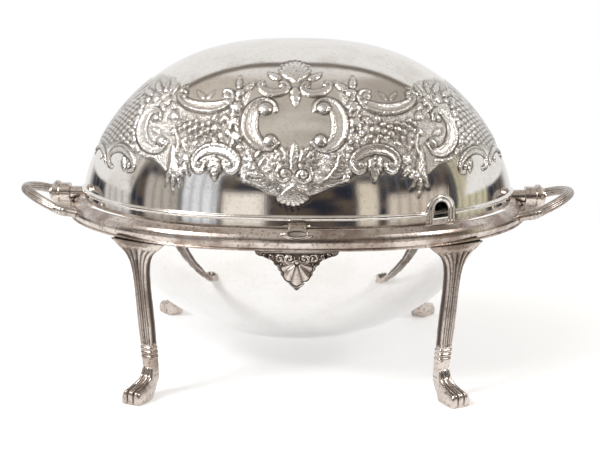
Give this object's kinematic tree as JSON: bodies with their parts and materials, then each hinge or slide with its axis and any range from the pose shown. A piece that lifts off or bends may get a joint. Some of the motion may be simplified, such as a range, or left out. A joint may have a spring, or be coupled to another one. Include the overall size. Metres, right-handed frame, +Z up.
{
  "type": "roll top chafer",
  "caption": "Oval silver-plated breakfast dish: a chased domed cover rolls back on end pivots under a fixed bowl, in a ring with loop handles and paw-footed legs.",
  "frame": {"origin": "on the floor, under the middle of the dish", "axes": "+X along the dish towards the handle on the viewer's right, -Y towards the front, +Z up"},
  "size_m": [0.389, 0.2409, 0.2255],
  "materials": {
    "worn_plate": "worn silver plate with fine scratches and tarnish in its grooves",
    "bright_plate": "bright polished silver plate",
    "chased_plate": "polished silver plate with dark recesses in the chased relief",
    "inner_plate": "satin silver plate",
    "pin_metal": "turned bare metal"
  },
  "bodies": {
    "frame": {"ring": "worn_plate", "leg_front_right": "worn_plate", "leg_front_left": "worn_plate", "leg_rear_right": "worn_plate", "leg_rear_left": "worn_plate", "handle_right": "worn_plate", "handle_left": "worn_plate", "bearing_right": "worn_plate", "bearing_left": "worn_plate", "end_nut_right": "worn_plate", "end_nut_left": "worn_plate", "apron_front": "worn_plate", "apron_rear": "worn_plate", "bowl": "bright_plate", "bowl_rim_wire_front": "bright_plate", "bowl_rim_wire_rear": "bright_plate", "bowl_boss_right": "bright_plate", "bowl_boss_left": "bright_plate", "pivot_pin_right": "pin_metal", "pivot_pin_left": "pin_metal", "washer_right": "pin_metal", "washer_left": "pin_metal"},
    "cover": {"cover_shell": "chased_plate", "cover_bead": "chased_plate", "notch_border": "chased_plate", "thumb_tab": "chased_plate", "cover_hub_right": "worn_plate", "cover_hub_left": "worn_plate"},
    "liner": {"liner": "inner_plate", "liner_rim_wire": "inner_plate"},
    "drainer": {"drainer_plate": "inner_plate", "drainer_rim": "inner_plate", "drainer_loop_right": "inner_plate", "drainer_loop_left": "inner_plate"}
  },
  "joints": [
    {"name": "cover_roll", "type": "hinge", "parent": "frame", "child": "cover", "pos_m": [0, 0, 0.1165], "axis": [-1, 0, 0], "range_deg": [0, 180]},
    {"name": "liner_lift", "type": "slide", "parent": "frame", "child": "liner", "axis": [0, 0, 1], "range_m": [0, 0.018]},
    {"name": "drainer_lift", "type": "slide", "parent": "liner", "child": "drainer", "axis": [0, 0, 1], "range_m": [0, 0.024]}
  ]
}
